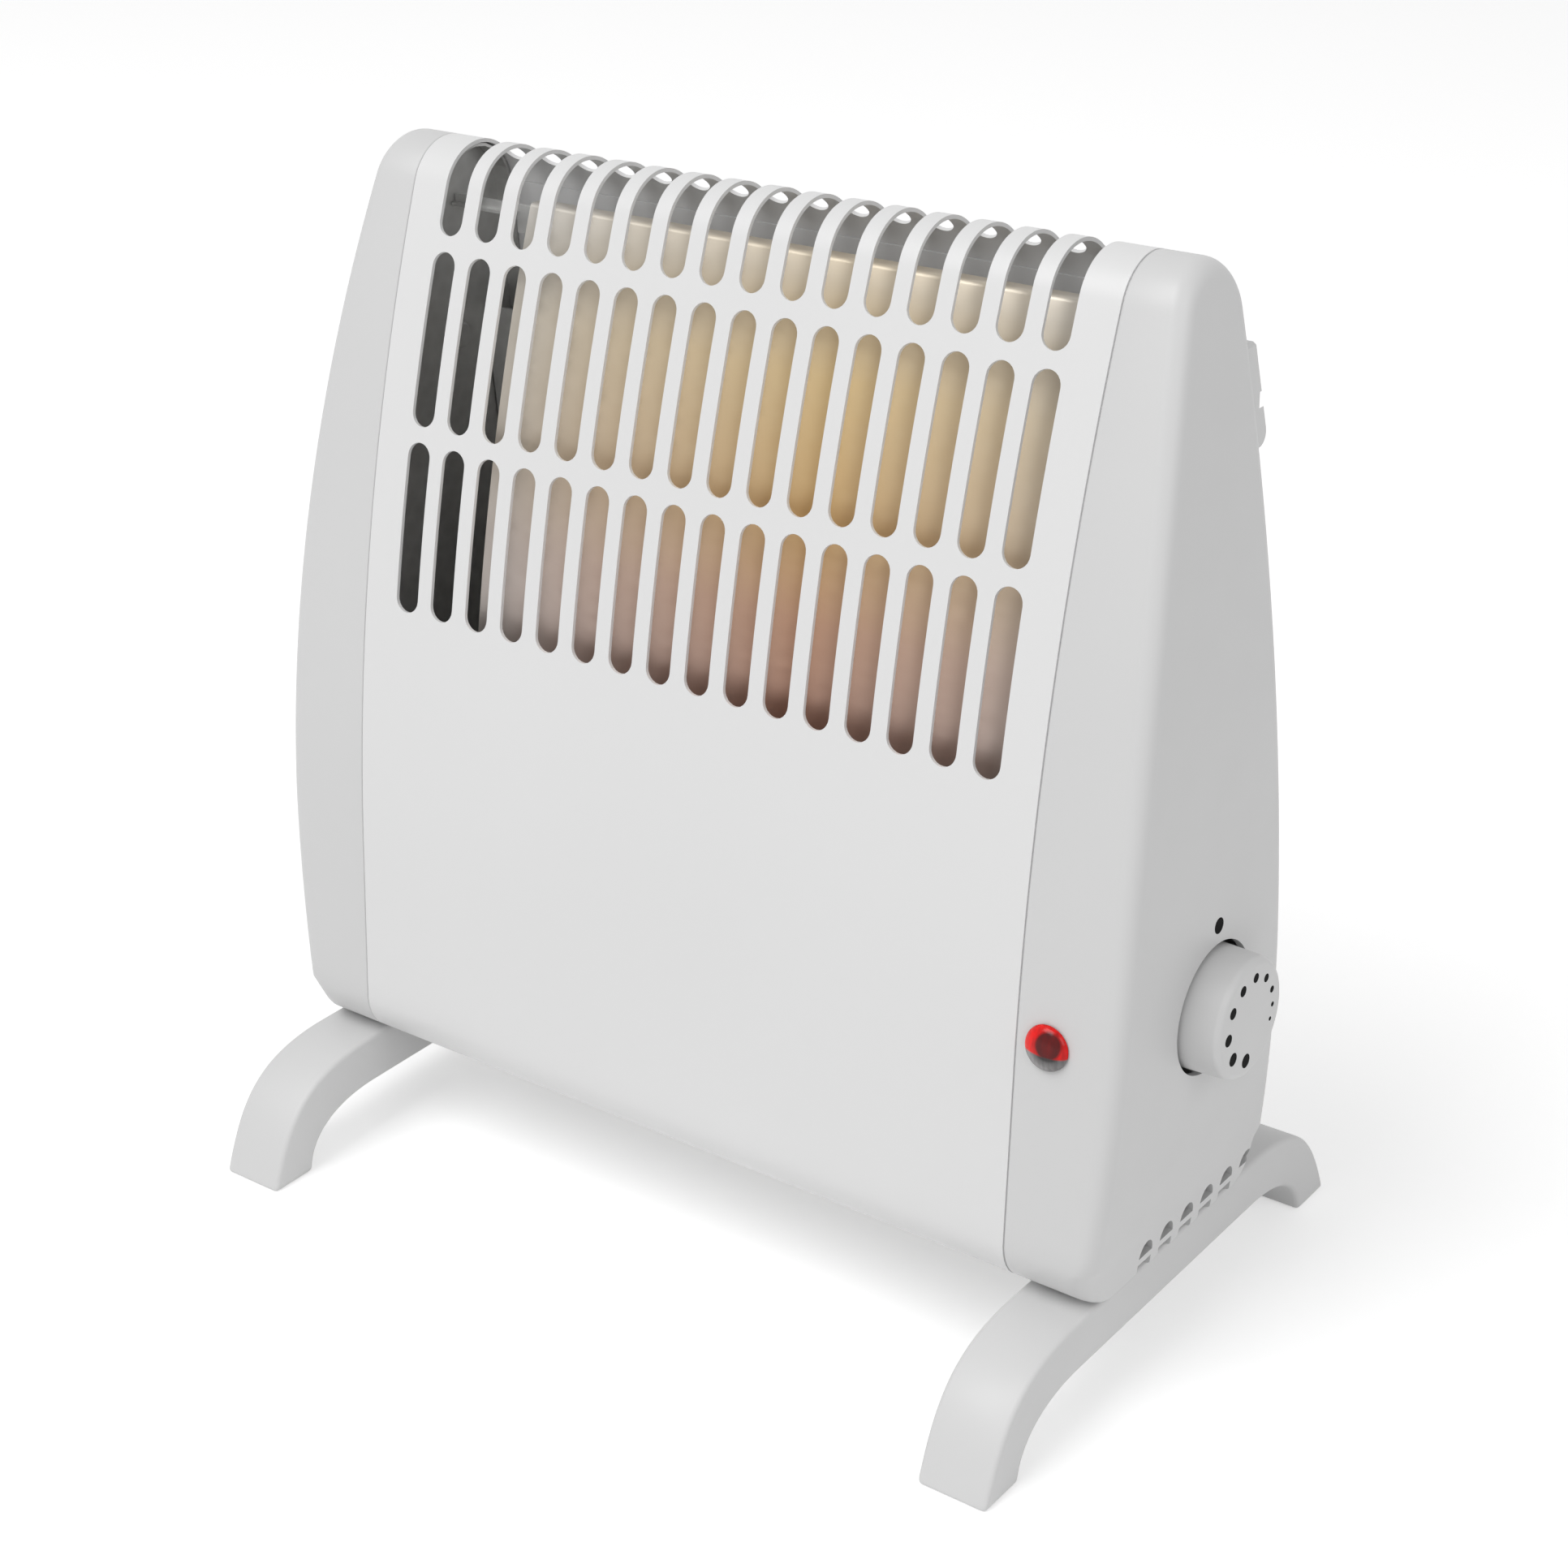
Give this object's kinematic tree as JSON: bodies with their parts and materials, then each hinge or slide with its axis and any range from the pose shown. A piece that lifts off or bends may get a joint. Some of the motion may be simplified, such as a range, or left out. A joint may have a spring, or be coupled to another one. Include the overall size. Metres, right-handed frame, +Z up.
{
  "type": "convector heater",
  "caption": "Portable convector heater: slotted wrap-over steel casing between moulded end caps, arched feet, side thermostat knob, pilot lamp, cable inlet and wall lugs.",
  "frame": {"origin": "middle of the overall box at floor level, knob included", "axes": "+X to the end with the knob, +Y to the back with the wall lugs, +Z up; the slotted front faces -Y"},
  "size_m": [0.2862, 0.172, 0.2833],
  "materials": {
    "white_enamel": "satin white enamel",
    "white_plastic": "satin moulded white",
    "foot_plastic": "satin moulded white",
    "galvanised_steel": "zinc-coated sheet",
    "element_steel": "heat-darkened sheath",
    "plated_steel": "zinc plated",
    "brass": "turned",
    "ceramic": "unglazed ceramic",
    "clear_glass": "clear",
    "red_lens": "clear red, polished",
    "black_plastic": "moulded black"
  },
  "bodies": {
    "casing": {"base_grille": "galvanised_steel", "cable_gland": "white_plastic", "cap_screw_left_lower": "plated_steel", "cap_screw_left_upper": "plated_steel", "cap_screw_right_lower": "plated_steel", "cap_screw_right_upper": "plated_steel", "deflector_strap": "galvanised_steel", "element_bush_back": "ceramic", "element_bush_front": "ceramic", "element_support": "galvanised_steel", "end_cap_left": "white_plastic", "end_cap_right": "white_plastic", "end_plate_left": "galvanised_steel", "end_plate_right": "galvanised_steel", "foot_left": "foot_plastic", "foot_right": "foot_plastic", "foot_screw_left_back": "plated_steel", "foot_screw_left_front": "plated_steel", "foot_screw_right_back": "plated_steel", "foot_screw_right_front": "plated_steel", "front_panel": "white_enamel", "heat_deflector": "galvanised_steel", "heat_shield": "galvanised_steel", "heating_element": "element_steel", "lamp_holder": "black_plastic", "lamp_lens": "red_lens", "lamp_neon": "clear_glass", "lamp_ring": "plated_steel", "lead_from_cutout": "white_plastic", "lead_to_cutout": "black_plastic", "lead_to_element": "white_plastic", "lead_to_lamp": "black_plastic", "lead_to_thermostat": "black_plastic", "rear_panel": "white_enamel", "rear_screw_left_lower": "plated_steel", "rear_screw_left_upper": "plated_steel", "rear_screw_right_lower": "plated_steel", "rear_screw_right_upper": "plated_steel", "terminal_block": "ceramic", "thermal_cutout": "black_plastic", "thermostat_bimetal": "plated_steel", "thermostat_bracket": "plated_steel", "thermostat_bush": "brass", "thermostat_contact_blade": "brass", "thermostat_nut": "plated_steel", "thermostat_stack": "ceramic", "wall_lug_left": "white_plastic", "wall_lug_right": "white_plastic"},
    "knob": {"thermostat_knob": "white_plastic", "thermostat_spindle": "brass"}
  },
  "joints": [
    {"name": "knob_turn", "type": "hinge", "parent": "casing", "child": "knob", "pos_m": [0.1431, 0.0042, 0.0994], "axis": [-1, 0, 0], "range_deg": [-114, 171.5]}
  ]
}
